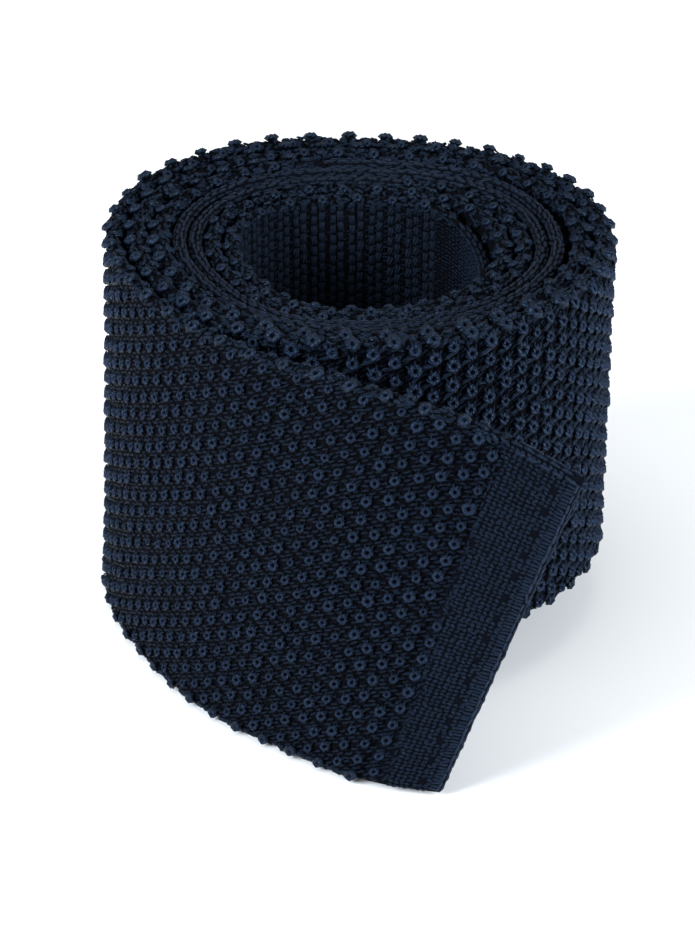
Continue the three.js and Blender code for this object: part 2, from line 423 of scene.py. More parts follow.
# The hair's breadth between two pieces of the cloth, and the turns from which the outer
# face shows, and over which the outer and the inner face come free
SLIT = 0.03
OUTER_START = 5.6
OUTER_FREE = (OUTER_START - 0.1, OUTER_START + 0.1)
INNER_FREE = (ROLL_END + 0.1, ROLL_END + 0.3)

cloth_length = float(length_of(CLOTH_END))
band_turn = float(turn_of(cloth_length - FRONT_END_BAND))


def front_insets(turn):
    """The ring stitches stand proud where they show, and are pressed flat in the roll."""
    outer = WOUND_PROUD + (PROUD - WOUND_PROUD) * ease(*OUTER_FREE, turn)
    inner = WOUND_PROUD + (PROUD - WOUND_PROUD) * ease(*INNER_FREE, turn)
    return outer, inner


front_ground = ribbon("front_blade_ground", float(turn_of(length_of(FRONT_START) + SLIT)),
                      band_turn, thickness_at, front_insets)
shaded_ground_knit = ground_finish("shaded_ground_knit", SHADED_GROUND_COLOUR, GROUND_GAP_SHADE)
front_ground.data.materials.append(shaded_ground_knit)
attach(front_ground, "root")
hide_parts("front_blade")


# Front blade, ring stitches
# Each raised stitch is a loop of yarn that stands out of the cloth, its two legs drawn in
# above it and a strand of the row passing below it. One is modelled and copied.

def choose(model, test):
    """Selects the model's points that pass a test on their place, and opens edit mode."""
    bpy.ops.object.mode_set(mode="EDIT")
    bpy.ops.mesh.select_all(action="DESELECT")
    bpy.ops.object.mode_set(mode="OBJECT")
    for point in model.data.vertices:
        point.select = bool(test(point.co))
    bpy.ops.object.mode_set(mode="EDIT")


def clear_selection():
    if bpy.context.object and bpy.context.object.mode != "OBJECT":
        bpy.ops.object.mode_set(mode="OBJECT")
    bpy.ops.object.select_all(action="DESELECT")


def strand_of_yarn(length, thick, x=0.0, y=0.0, height=0.0, lean=0.0, around=4):
    """A short length of yarn along the cloth, sunk at both ends."""
    clear_selection()
    bpy.ops.mesh.primitive_uv_sphere_add(
        segments=around, ring_count=3, radius=1, location=(x, y, height),
        rotation=(0, math.pi / 2, lean), scale=(thick, thick, length))
    return bpy.context.object


models = []


def joined(parts, name):
    """Joins modelled parts into one mesh, to be copied and then taken away."""
    clear_selection()
    for part in parts:
        part.select_set(True)
    bpy.context.view_layer.objects.active = parts[0]
    bpy.ops.object.transform_apply(location=True, rotation=True, scale=True)
    if len(parts) > 1:
        bpy.ops.object.join()
    whole = bpy.context.object
    whole.name = name
    models.append(whole)
    return whole


LOOP_PARTS = 9
LOOP_HEIGHT = 0.42


def ring_model(name, major, minor, legs, strand):
    """A lumpy loop on a low mound, with its legs and the strand of the row below it."""
    clear_selection()
    bpy.ops.mesh.primitive_torus_add(
        major_segments=LOOP_PARTS, minor_segments=4, major_radius=major, minor_radius=minor)
    ring = bpy.context.object

    # Every second part of the loop is plumper
    choose(ring, lambda place: round(math.degrees(math.atan2(place.y, place.x))
                                     / (360 / LOOP_PARTS)) % 2 == 0)
    bpy.ops.transform.resize(value=(1.16, 1.2, 1.15))

    # Its upper side sinks into the cloth, its lower side stands up, and all of it is raised
    choose(ring, lambda place: place.y > 0.25)
    bpy.ops.transform.translate(value=(0, 0.08, -0.14))
    choose(ring, lambda place: place.y < -0.25)
    bpy.ops.transform.translate(value=(0, -0.06, 0.06))
    choose(ring, lambda place: True)
    bpy.ops.transform.translate(value=(0, 0, LOOP_HEIGHT))
    clear_selection()
    bpy.ops.mesh.primitive_cone_add(
        vertices=6, radius1=0.85, radius2=0.0, depth=0.5, end_fill_type="NOTHING",
        location=(0, 0, -0.05))
    parts = [ring, bpy.context.object]
    for side in (1, -1) if legs else ():
        clear_selection()
        bpy.ops.mesh.primitive_cylinder_add(
            vertices=3, radius=0.16, depth=0.85, end_fill_type="NOTHING",
            location=(side * 0.48, 0.8, 0.46), rotation=(1.15, 0, side * -0.25))
        parts.append(bpy.context.object)
    if strand:
        parts.append(strand_of_yarn(1.65, 0.31, x=-0.35, y=-0.95, height=0.26, lean=0.42))
    return joined(parts, name)


def scatter(name, model, turn, share, outward, size=1.0, wobble=0.12, tilt=0.0, flip=1, seed=1,
            lie=0.0, depth=None):
    """Copies of a model over the cloth. Its x lies along, its y across and its z outwards."""
    random = np.random.default_rng(seed)
    mesh = model.data
    shape = np.empty(len(mesh.vertices) * 3, np.float32)
    mesh.vertices.foreach_get("co", shape)
    shape = shape.reshape(-1, 3)
    loops = np.empty(len(mesh.loops), np.int32)
    mesh.loops.foreach_get("vertex_index", loops)
    sizes = np.array([len(face.vertices) for face in mesh.polygons])
    uv = np.zeros((len(mesh.loops), 2), np.float32)
    mesh.uv_layers[0].data.foreach_get("uv", uv.reshape(-1))
    copies = len(turn)
    place, along, up, out = cloth(turn, share, np.asarray(outward) * flip)
    out, along = out * flip, along * flip
    tilt = np.broadcast_to(tilt, (copies,))[:, None]
    tipped_up = up * np.cos(tilt) - out * np.sin(tilt)
    tipped_out = out * np.cos(tilt) + up * np.sin(tilt)
    spin = lie + random.normal(0, wobble, copies)[:, None]
    side = along * np.cos(spin) + tipped_up * np.sin(spin)
    rise = tipped_up * np.cos(spin) - along * np.sin(spin)
    grow = np.broadcast_to(size, (copies,)) * random.normal(1, wobble / 2, copies)
    shift = random.normal(0, wobble / 2, (copies, 2))
    place = place + side * shift[:, :1] + rise * shift[:, 1:]
    grown = shape[None] * grow[:, None, None]
    points = (place[:, None] + grown[..., :1] * side[:, None] + grown[..., 1:2] * rise[:, None]
              + grown[..., 2:] * tipped_out[:, None])
    starts = np.arange(copies) * len(shape)
    all_loops = (starts[:, None] + loops).ravel()
    piece = mesh_piece(name, points.reshape(-1, 3), all_loops, np.tile(sizes, copies))
    # Each point's height in its model, from which the yarn finishes paint shade on the sunk parts
    # of every copy
    lowest, highest = depth or (shape[:, 2].min(), shape[:, 2].max())
    shade_height = np.clip((shape[:, 2] - lowest) / (highest - lowest), 0, 1)
    shade_layer = piece.data.attributes.new("shade_height", "FLOAT", "POINT")
    shade_layer.data.foreach_set("value", np.tile(shade_height, copies).astype(np.float32))
    layer = piece.data.uv_layers.new(name="knit")
    drift = random.uniform(0, 10, (copies, 1, 1))
    layer.data.foreach_set("uv", (uv[None] + drift).astype(np.float32).ravel())
    return piece


def finish_stitches(piece, material, cloth_pieces):
    piece.data.materials.append(material)
    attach(piece, "root")
    cloth_pieces.append(piece)


ring_stitch = ring_model("ring_stitch", 0.5, 0.32, legs=True, strand=True)
lone_ring = ring_model("lone_ring", 0.51, 0.3, legs=True, strand=False)
knob = ring_model("knob", 0.5, 0.4, legs=False, strand=False)


def lattice(from_turn, to_turn, rows, phase=0.0):
    """Turn and row of each ring stitch: every other column is set half a row down."""
    first = int(math.ceil(np.interp(from_turn, length_turns, stitches_along) * 2))
    last = int(math.floor(np.interp(to_turn, length_turns, stitches_along) * 2))
    column = np.arange(first, last + 1)
    turn = np.interp((column + phase) / 2, stitches_along, length_turns)
    column, row = np.meshgrid(column, rows, indexing="ij")
    turn = np.broadcast_to(turn[:, None], row.shape)
    keep = (column + row) % 2 == 0
    return turn[keep], row[keep]


# How far the top and the bottom row stand from the edges, and how the rows next to the
# edges tilt over them
TOP_ROW = 0.15
BOTTOM_ROW = 1.0
EDGE_TILTS = ((1, 0.35), (2, 0.1))
LAST_TILT = -0.1
last_row = round((FRONT_WIDTH - TOP_ROW - BOTTOM_ROW) / (ROW_HEIGHT / 2))
half_row = (FRONT_WIDTH - TOP_ROW - BOTTOM_ROW) / last_row
blade_rows = np.arange(1, last_row + 1)
stitch_yarn = yarn_finish("stitch_yarn", (0.0064, 0.0124, 0.0320), (0.0014, 0.0016, 0.0022))
half_thickness = FRONT_THICKNESS / 2 - PROUD
WOUND_SUNK = 0.32
wound_half = FRONT_THICKNESS / 2 - WOUND_PROUD - WOUND_SUNK
# Heights in the ring models over which the painted shade of their sunk parts fades out
RING_SHADE_DEPTHS = (-0.1, 0.72)
front_pieces = []


def share_at(down, turn):
    """Rows are counted down from the upper edge, so the narrower wraps hold fewer."""
    return 1 - down / width_at(np.minimum(turn, ROLL_END))


def edge_tilt(row):
    """The stitches next to the edges roll over them."""
    tilt = np.zeros(len(row))
    for away, angle in EDGE_TILTS:
        tilt[row == away] = angle
    tilt[row == last_row] = LAST_TILT
    return tilt


# The length of the end band at the lower edge and what the upper edge adds to it, and how
# near the rings come to the band and to the lower edge
LOWER_BAND = 7.2
BAND_SLANT = 4.3
RING_TO_BAND = 0.8
LOWEST_RING = 0.9
LOWEST_LONG_RING = 2.6


def band_edge(share):
    """Where the end band begins along the cloth: it is longer at the cloth's upper edge."""
    return cloth_length - LOWER_BAND - BAND_SLANT * share


def ring_stitches(name, model, from_turn, to_turn, rows, outward, seed, phase=0.0, flip=1,
                  size=1.0, lowest=LOWEST_RING, highest=math.inf):
    """Rings on one face, between two heights above the lower edge of the cloth."""
    turn, row = lattice(from_turn, to_turn, rows, phase)
    share = share_at(TOP_ROW + row * half_row, turn)
    height = share * FRONT_WIDTH
    keep = length_of(turn) < band_edge(share) - RING_TO_BAND
    keep &= (height > lowest) & (height <= highest)
    turn, row, share = turn[keep], row[keep], share[keep]
    return scatter(name, model, turn, share, outward, wobble=0.18, tilt=edge_tilt(row),
                   flip=flip, seed=seed, size=size, depth=RING_SHADE_DEPTHS)


# The rings are largest on the roll, and smaller and without the long strand at the loose
# end. A span stops just short of the next one's first ring.
SPAN_GAP = 1e-4
RING_SPANS = [
    {"from": OUTER_START, "to": 5.95, "ring": ring_stitch, "size": 1.15,
     "lowest": LOWEST_LONG_RING},
    {"from": 5.95, "to": 6.25, "ring": ring_stitch, "size": 1.15, "lowest": LOWEST_LONG_RING},
    {"from": 6.25, "to": 6.52, "ring": ring_stitch, "size": 1.02, "lowest": LOWEST_LONG_RING},
    {"from": 6.52, "to": CLOTH_END, "ring": lone_ring, "size": 0.93, "lowest": LOWEST_RING},
]
for index, span in enumerate(RING_SPANS):
    finish_stitches(ring_stitches(
        f"front_blade_stitches_{index + 1}", span["ring"], span["from"], span["to"] - SPAN_GAP,
        blade_rows, half_thickness, index, size=span["size"], lowest=span["lowest"]),
        stitch_yarn, front_pieces)
finish_stitches(ring_stitches(
    "front_blade_lower_stitches", lone_ring, OUTER_START, RING_SPANS[-1]["from"] - SPAN_GAP,
    blade_rows, half_thickness, 4, highest=LOWEST_LONG_RING), stitch_yarn,
    front_pieces)
INNER_START = ROLL_END + 0.22
finish_stitches(ring_stitches(
    "front_blade_inner_stitches", lone_ring, INNER_START, CLOTH_END, blade_rows,
    half_thickness, 5, phase=1, flip=-1), stitch_yarn, front_pieces)

# Inside the roll only the rings next to the upper edge are made, on both faces
WOUND_START = FRONT_START + 0.01
WOUND_RING_SIZE = 0.85
# The edges and the rings between the wraps take a darker copy of the stitch yarn, painted shade
# that dims them against the light from above
rim_shade_yarn = yarn_finish("rim_shade_yarn", (0.0042, 0.0080, 0.0205), (0.0009, 0.0010, 0.0014))
rim_rows = np.arange(1, 4)
for index, (face, stop) in enumerate((("outer", OUTER_START), ("inner", INNER_START))):
    finish_stitches(ring_stitches(
        f"front_blade_rim_stitches_{face}", lone_ring, WOUND_START, stop, rim_rows, wound_half,
        6 + index, phase=index, flip=1 - 2 * index, size=WOUND_RING_SIZE), rim_shade_yarn,
        front_pieces)

# Between the rings the cloth shows short strands in slanting rows, from ring to ring, and
# where it is wound tight there is a small hole above each ring
STRANDS_TO_A_ROW = 4
STRAND_PITCH = 1.45
STRAND_PROUD = 0.12
STRAND_MARGIN = 0.3
STRAND_ABOVE_FOOT = 0.8
STRAND_TO_BAND = 0.2
SLANT = 0.45

# Each row starts at another share of the pitch, so that the strands don't line up
ROW_SHIFT = 0.618

# Space from ring to ring along the cloth, the half axes of the space that a ring covers and
# of the hole above it, and the hole's place from the ring
COLUMN_PITCH = 2.8
RING_COVERS = (0.9, 0.8)
HOLE_COVERS = (0.75, 0.6)
HOLE_FROM_RING = (0.4, -1.45)
short_strand = joined([strand_of_yarn(0.74, 0.23)], "short_strand")
# The short strands take a darker, less glossy copy of the stitch yarn, painted shade for yarn
# lying low between the stitches
low_strand_shade_yarn = yarn_finish("low_strand_shade_yarn", (0.0046, 0.0082, 0.0215), (0.0010, 0.0012, 0.0018),
                          gloss=0.2)


def between_rings(from_turn, to_turn, hole, seed):
    random = np.random.default_rng(seed)
    first, last = np.interp((from_turn, to_turn), length_turns, stitches_along)
    lane_height = 2 * half_row / STRANDS_TO_A_ROW
    lanes = np.arange(int(2 * first * half_row / lane_height),
                      int((2 * last * half_row + FRONT_WIDTH) / lane_height))
    count, lane = np.meshgrid(np.arange(first, last, STRAND_PITCH / STITCH_LENGTH), lanes,
                              indexing="ij")
    count = count + (lane * ROW_SHIFT % 1) * STRAND_PITCH / STITCH_LENGTH
    count = count.ravel() + random.normal(0, 0.03, count.size)
    down = TOP_ROW + (lane.ravel() + 0.3) * lane_height - 2 * count * half_row
    inside = (down > STRAND_MARGIN) & (down < FRONT_WIDTH - STRAND_MARGIN)
    count, down = count[inside], down[inside]
    turn = np.interp(count, stitches_along, length_turns)
    share = share_at(down, turn)
    clear = share > STRAND_ABOVE_FOOT / FRONT_WIDTH
    clear &= length_of(turn) < band_edge(share) - STRAND_TO_BAND
    column, row = 2 * count, (down - TOP_ROW) / half_row
    for across in (-1, 0, 1):
        for over in (-1, 0, 1):
            ring_column, ring_row = np.round(column) + across, np.round(row) + over
            x, y = (column - ring_column) * COLUMN_PITCH, (row - ring_row) * half_row
            covered = np.hypot(x / RING_COVERS[0], y / RING_COVERS[1]) < 1
            covered |= hole & (np.hypot((x - HOLE_FROM_RING[0]) / HOLE_COVERS[0],
                                        (y - HOLE_FROM_RING[1]) / HOLE_COVERS[1]) < 1)
            clear &= ~(covered & ((ring_column + ring_row) % 2 == 0))
    return turn[clear], share[clear]


STRAND_SPANS = [
    {"from": OUTER_START, "to": 6.2, "holes": True},
    {"from": 6.2, "to": 6.5, "holes": True},
    {"from": 6.5, "to": CLOTH_END, "holes": False},
]
for index, span in enumerate(STRAND_SPANS):
    turn, share = between_rings(span["from"], span["to"], span["holes"], 80 + index)
    finish_stitches(scatter(
        f"front_blade_strands_{index + 1}", short_strand, turn, share,
        half_thickness + STRAND_PROUD, wobble=0.14, seed=82 + index, lie=SLANT),
        low_strand_shade_yarn, front_pieces)

# The edges are rolled rows of plump strands, with a knob at each stitch on both faces
RIM_LIFT = 0.1
RIM_PITCH = 1.3
EDGE_HOLE_HALF = 0.19
EDGE_HOLE_ANGLE = 0.8
edge_strand = joined([strand_of_yarn(0.72, 0.34)], "edge_strand")


def rim_strands(name, model, from_turn, to_turn, insets, angles, pitch, seed, lower=False,
                wobble=0.45, size=1.0, holes=False):
    """Rows of strands laid round the rolled edge, at some angles from its top, and left out
    where the edge has a small hole between two stitches."""
    first, last = float(length_of(from_turn)), float(length_of(to_turn))
    along, angle = np.meshgrid(np.arange(first + pitch / 2, last, pitch), np.radians(angles),
                               indexing="ij")
    along = along + np.arange(len(angles)) % 2 * pitch / 2
    turn, angle = turn_of(along.ravel()), angle.ravel()
    if holes:
        between = np.interp(turn, length_turns, stitches_along) * 2 % 1
        solid = (np.abs(between - 0.5) > EDGE_HOLE_HALF) | (np.abs(angle) > EDGE_HOLE_ANGLE)
        turn, angle = turn[solid], angle[solid]
    outer, inner = insets(turn)
    half = (thickness_at(turn) - outer - inner) / 2
    out = (inner - outer) / 2 + (half + RIM_LIFT) * np.sin(angle)
    drop = half + EDGE_INSET - (half + RIM_LIFT) * np.cos(angle)
    low, high = edges(turn)
    drop = drop / np.linalg.norm(high - low, axis=-1)
    tilt = math.pi / 2 - angle
    return scatter(name, model, turn, drop if lower else 1 - drop, out, size=size,
                   wobble=wobble, tilt=-tilt if lower else tilt, seed=seed)


KNOB_SUNK = 0.3
KNOB_TILT = 0.8
KNOB_WOBBLE = 0.15


def rim_knobs(name, from_turn, to_turn, insets, flip, phase, seed, size, below):
    """Knobs on one face, some way below the upper edge, that lean over it."""
    turn, row = lattice(from_turn, to_turn, np.array([0]), phase)
    outer, inner = insets(turn)
    out = thickness_at(turn) / 2 - (outer if flip > 0 else inner) - KNOB_SUNK
    return scatter(name, knob, turn, share_at(below, turn), out, size=size,
                   wobble=KNOB_WOBBLE, tilt=KNOB_TILT, flip=flip, seed=seed)


ROUND_THE_EDGE = (-78, -52, -26, 0, 26, 52, 78)
LOOSE_START = 6.4
rim_end = band_turn - 0.004
knobs_end = rim_end - 0.005
RIM_ROWS = [
    {"name": "wound", "from": FRONT_START + 0.005, "to": LOOSE_START, "size": 1.0, "lower": False},
    {"name": "loose", "from": LOOSE_START, "to": rim_end, "size": 0.85, "lower": False},
    {"name": "lower", "from": OUTER_START, "to": rim_end, "size": 0.9, "lower": True},
]
for rim in RIM_ROWS:
    finish_stitches(rim_strands(
        f"front_blade_{rim['name']}_rim_strands", edge_strand, rim["from"], rim["to"],
        front_insets, ROUND_THE_EDGE, RIM_PITCH * rim["size"], 41, lower=rim["lower"],
        size=rim["size"], holes=True), rim_shade_yarn, front_pieces)
KNOB_ROWS = [
    {"name": "wound_outer", "from": WOUND_START, "to": LOOSE_START, "size": 1.2, "below": 0.3},
    {"name": "wound_inner", "from": WOUND_START, "to": LOOSE_START, "size": 0.85, "below": 0.55},
    {"name": "loose_outer", "from": LOOSE_START, "to": knobs_end, "size": 1.05, "below": 0.45},
    {"name": "loose_inner", "from": LOOSE_START, "to": knobs_end, "size": 0.85, "below": 0.45},
]
for index, knobs in enumerate(KNOB_ROWS):
    finish_stitches(rim_knobs(
        f"front_blade_knobs_{knobs['name']}", knobs["from"], knobs["to"], front_insets,
        1 - 2 * (index % 2), index % 2, 45 + index, knobs["size"], knobs["below"]),
        rim_shade_yarn, front_pieces)

# The knobs along the lower edge lean down, and stand just clear of the floor
LOWER_KNOB_HEIGHT = 1.2
LOWER_KNOB_PROUD = 0.1
LOWER_KNOB_TILT = -0.5
for phase in (0, 1):
    turn, _ = lattice(OUTER_START, rim_end, np.array([0]), phase)
    finish_stitches(scatter(
        f"front_blade_knobs_lower_{phase + 1}", knob, turn,
        np.full(len(turn), LOWER_KNOB_HEIGHT / FRONT_WIDTH), half_thickness + LOWER_KNOB_PROUD,
        size=1.05, wobble=KNOB_WOBBLE, tilt=LOWER_KNOB_TILT, flip=1 - 2 * phase,
        seed=50 + phase), rim_shade_yarn, front_pieces)


FLAT_PLACES = 400


def flat_cut(from_turn, to_turn):
    """Width, length and area of the cloth between two turns, flat, in metres."""
    places = turn_of(np.linspace(length_of(from_turn), length_of(to_turn), FLAT_PLACES))
    low, high = edges(places)
    widths = np.linalg.norm(high - low, axis=-1)
    length = float(length_of(to_turn) - length_of(from_turn))
    widest = float(widths.max())
    return (widest / 1000, length / 1000), float(widths.mean()) * length / 1e6


front_flat, front_area = flat_cut(FRONT_START, band_turn)


# Neck
# The narrow neck is knitted in fine plain stocking stitch, with its wales along the tie.
# It is wound over the rear blade, and shows only its upper edge and a little of its faces.

NECK_PROUD = 0.25
NECK_STITCH = 1.35
NECK_SUNK = 0.34
NECK_EDGE_PITCH = 2.1
NECK_EDGE_ANGLES = (-75, -28, 20, 65)


def neck_insets(turn):
    return NECK_PROUD + 0 * turn, NECK_PROUD + 0 * turn


neck_ground = ribbon("neck_ground", float(turn_of(length_of(NECK_START) + SLIT)), FRONT_START,
                     thickness_at, neck_insets, rows=14)
neck_ground.data.materials.append(ground_finish(
    "neck_ground_knit", (0.0028, 0.0037, 0.0074), (0.0015, 0.0017, 0.0026), across=(2.0, 2.0)))
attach(neck_ground, "root")
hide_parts("neck")


def stocking_model(name, length, height, thick, lean=0.42):
    """A V of two legs of yarn, its point towards the end of the cloth."""
    return joined([strand_of_yarn(length * 0.68, thick, 0, side * height / 4, 0, side * -lean)
                   for side in (1, -1)], name)


neck_v = stocking_model("neck_v", 1.35, 1.2, 0.27)
edge_yarn = joined([strand_of_yarn(1.15, 0.33, around=5)], "edge_yarn")
neck_pieces = []
# The neck's edge and the rear band's edge take a darker copy of the stitch yarn, painted shade
# that dims them against the light from above
neck_shade_yarn = yarn_finish("neck_shade_yarn", (0.0064, 0.0100, 0.0225), (0.0012, 0.0013, 0.0017))


def wales(from_turn, to_turn, pitch, wale_list):
    """Turn and distance from the upper edge of each stitch in some wales."""
    first, last = length_of(from_turn), length_of(to_turn)
    turn = turn_of(np.arange(first + pitch / 2, last, pitch))
    turn, wale = np.meshgrid(turn, wale_list, indexing="ij")
    return turn.ravel(), wale.ravel()


for index, (flip, places) in enumerate(((1, (1.6, 2.8, 4.0)), (-1, (1.6, 2.8)))):
    turn, place = wales(NECK_START, FRONT_START, NECK_STITCH, places)
    finish_stitches(scatter(
        f"neck_wales_{index + 1}", neck_v, turn, 1 - place / width_at(turn),
        NECK_THICKNESS / 2 - NECK_SUNK, wobble=0.05, flip=flip, seed=11 + index), low_strand_shade_yarn,
        neck_pieces)
finish_stitches(rim_strands(
    "neck_rim_strands", edge_yarn, NECK_START, FRONT_START, neck_insets, NECK_EDGE_ANGLES,
    NECK_EDGE_PITCH, 14, wobble=0.14), neck_shade_yarn, neck_pieces)
neck_flat, neck_area = flat_cut(NECK_START, FRONT_START)


# Rear blade
# The narrower blade lies at the heart of the roll, and its wrong side lines the hole, in
# ribs of small blocks of yarn. Its edges carry knobs like those of the front blade.

REAR_PROUD = 0.4
REAR_SUNK = 0.3
REAR_EDGE_ANGLES = (-78, -47, -16, 16, 47, 78)


def rear_insets(turn):
    return REAR_PROUD + 0 * turn, REAR_PROUD + 0 * turn


rear_ground = ribbon("rear_blade_ground", float(turn_of(REAR_END_BAND + SLIT)), REAR_TURNS,
                     thickness_at, rear_insets, rows=18)
rear_ground.data.materials.append(shaded_ground_knit)
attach(rear_ground, "root")
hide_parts("rear_blade")

rear_pieces = []
rear_half = REAR_THICKNESS / 2 - REAR_PROUD - REAR_SUNK
rear_rim = (REAR_BAND_TURNS + 0.01, REAR_TURNS - 0.005)
finish_stitches(rim_strands(
    "rear_blade_rim_strands", edge_strand, *rear_rim, rear_insets, REAR_EDGE_ANGLES, RIM_PITCH,
    43, size=0.9, holes=True), rim_shade_yarn, rear_pieces)
for index, flip in enumerate((1, -1)):
    finish_stitches(rim_knobs(
        f"rear_blade_rim_knobs_{index + 1}", *rear_rim, rear_insets, flip, index, 47 + index,
        size=0.85, below=0.35), rim_shade_yarn, rear_pieces)
REAR_RINGS = [
    {"flip": 1, "from": REAR_BAND_TURNS + 0.01, "rows": 3},
    {"flip": -1, "from": 0.9, "rows": 6},
]
for index, face in enumerate(REAR_RINGS):
    finish_stitches(ring_stitches(
        f"rear_blade_rim_stitches_{index + 1}", lone_ring, face["from"], REAR_TURNS - 0.01,
        np.arange(1, face["rows"] + 1), rear_half, 21 + index, phase=index, flip=face["flip"],
        size=0.8), rim_shade_yarn, rear_pieces)

# The wrong side: ribs of blocks in pairs, one of each pair set a little lower, with strands
# of yarn between them, from the end band round to where the next turn covers the cloth
INNER_BAND = 17.0
LINING_END = 1.02
BLOCK_PITCH = 3.2
BLOCK_ROW = 1.8
BLOCK_ROWS = 27
BLOCK_FROM_MIDDLE = 0.66
BLOCK_SHIFT = 0.3
FIRST_BLOCK = 1.6
BLOCK_PROUD = 0.32
LINING_STRAND_PITCH = 1.5
LINING_STRAND_ROW = 0.9
LINING_STRAND_ROWS = 50
FIRST_STRAND = 1.2
LINING_STRAND_PROUD = 0.3
LINING_FOOT = 1
clear_selection()
bpy.ops.mesh.primitive_cube_add(size=2, scale=(0.56, 0.82, 0.16))
block = joined([bpy.context.object], "wrong_side_block")
choose(block, lambda place: place.z > 0)
bpy.ops.transform.resize(value=(0.74, 0.78, 1))
clear_selection()
# The lining of the hole takes a darker copy of the yarn, painted shade for the inside of the roll
hole_shade_yarn = yarn_finish("hole_shade_yarn", (0.0026, 0.0041, 0.0100),
                              (0.0014, 0.0016, 0.0024), rough=0.85)
lining_length = float(length_of(LINING_END))
columns = np.arange(int(INNER_BAND / BLOCK_PITCH) + 1, int(lining_length / BLOCK_PITCH))
column, row, side = np.meshgrid(columns, np.arange(BLOCK_ROWS),
                                (-BLOCK_FROM_MIDDLE, BLOCK_FROM_MIDDLE), indexing="ij")
turn = turn_of(column.ravel() * BLOCK_PITCH + side.ravel())
width = width_at(turn)
place = FIRST_BLOCK + row.ravel() * BLOCK_ROW + BLOCK_SHIFT * np.sign(side.ravel())
keep = place < width - LINING_FOOT
finish_stitches(scatter(
    "rear_blade_wrong_side", block, turn[keep], (1 - place / width)[keep],
    rear_half + BLOCK_PROUD, wobble=0.1, flip=-1, seed=25, depth=(-0.16, 0.2)),
    hole_shade_yarn, rear_pieces)
along = np.arange(0, LINING_END, LINING_STRAND_PITCH / lining_length) * lining_length
turn, row = np.meshgrid(turn_of(along[2:]), np.arange(LINING_STRAND_ROWS), indexing="ij")
turn, place = turn.ravel(), FIRST_STRAND + row.ravel() * LINING_STRAND_ROW
keep = (place < width_at(turn) - LINING_FOOT) & (length_of(turn) > INNER_BAND)
keep &= turn < LINING_END
finish_stitches(scatter(
    "rear_blade_wrong_side_strands", short_strand, turn[keep],
    (1 - place / width_at(turn))[keep], rear_half + LINING_STRAND_PROUD, wobble=0.35, flip=-1,
    seed=26, size=0.8), hole_shade_yarn, rear_pieces)
rear_flat, rear_area = flat_cut(REAR_BAND_TURNS, REAR_TURNS)


# End bands
# Both ends of the tie finish in a band of fine stocking stitch with its wales along the
# tie. The wide end is cast off in a row of smooth strands along its edge.

FRONT_END_THICKNESS = 2.4
BAND_WALE = 1.32
BAND_STITCH = 0.86
BAND_STEPS = 26
BAND_MARGIN = 1.2
BAND_OVERLAP = 0.5
BAND_PROUD = 0.85
REAR_BAND_PROUD = 0.72
CAST_OFF = 1.8
BAND_GROUND_STEP = 0.8
BAND_EDGE_PITCH = 2.0
REAR_BAND_START = 0.5
band_v = stocking_model("band_v", 0.68, BAND_WALE, 0.27, 0.3)
band_ground = ribbon("front_end_band_ground", float(turn_of(cloth_length - FRONT_END_BAND + SLIT)),
                     CLOTH_END, lambda turn: FRONT_END_THICKNESS + 0 * turn, rear_insets,
                     step=BAND_GROUND_STEP, rows=30)
rear_band_ground = ribbon("rear_end_band_ground", 0.0, float(turn_of(REAR_END_BAND)),
                          thickness_at, rear_insets, step=BAND_GROUND_STEP, rows=24)
band_knit = ground_finish("band_ground_knit", (0.0026, 0.0038, 0.0080),
                          (0.0014, 0.0016, 0.0024), across=(2.0, 2.0))
for ground, node in ((band_ground, "front_end_band"), (rear_band_ground, "rear_end_band")):
    ground.data.materials.append(band_knit)
    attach(ground, "root")
    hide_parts(node)

band_yarn = yarn_finish("band_yarn", (0.0058, 0.0112, 0.0280), (0.0010, 0.0011, 0.0015))
front_band_pieces, rear_band_pieces = [], []


def band_stitches(name, stop, width, start_of, flip, outward, seed, ahead=1, holes=False):
    """Wales of stocking stitch, from where the band begins to where its edge is cast off,
    with a row of small holes next to the edge."""
    wale_count = int((width - BAND_MARGIN) / BAND_WALE)
    across = (np.arange(wale_count) + 0.5) * (width - BAND_MARGIN) / wale_count
    step, across = np.meshgrid(np.arange(BAND_STEPS), BAND_MARGIN / 2 + across, indexing="ij")
    hole = holes & (step == 1) & (np.arange(wale_count) % 3 == 1)
    share = (across / width).ravel()
    along = stop - ahead * (step.ravel() + 0.5) * BAND_STITCH
    keep = ((along - start_of(share)) * ahead > -BAND_OVERLAP) & ~hole.ravel()
    return scatter(name, band_v, turn_of(along[keep]), share[keep], outward, wobble=0.13,
                   flip=flip, seed=seed)


for flip, face in ((1, "outer"), (-1, "inner")):
    finish_stitches(band_stitches(
        f"front_end_band_stitches_{face}", cloth_length - CAST_OFF, FRONT_WIDTH, band_edge,
        flip, BAND_PROUD, 31 + flip, holes=True), band_yarn, front_band_pieces)
    finish_stitches(band_stitches(
        f"rear_end_band_stitches_{face}", REAR_BAND_START, REAR_WIDTH,
        lambda share: (INNER_BAND if flip == -1 else REAR_END_BAND) + 0 * share,
        flip, REAR_BAND_PROUD, 34 + flip, ahead=-1), band_yarn, rear_band_pieces)
BAND_EDGES = [
    {"name": "rear", "from": 0.002, "to": REAR_BAND_TURNS, "yarn": neck_shade_yarn,
     "band": rear_band_pieces},
    {"name": "front", "from": band_turn, "to": float(turn_of(cloth_length - 0.9)),
     "yarn": band_yarn, "band": front_band_pieces},
]
for index, edge in enumerate(BAND_EDGES):
    finish_stitches(rim_strands(
        f"{edge['name']}_end_band_rim_strands", edge_yarn, edge["from"], edge["to"],
        rear_insets, (-70, -22, 22, 70), BAND_EDGE_PITCH, 37 + index, wobble=0.07, size=0.9),
        edge["yarn"], edge["band"])

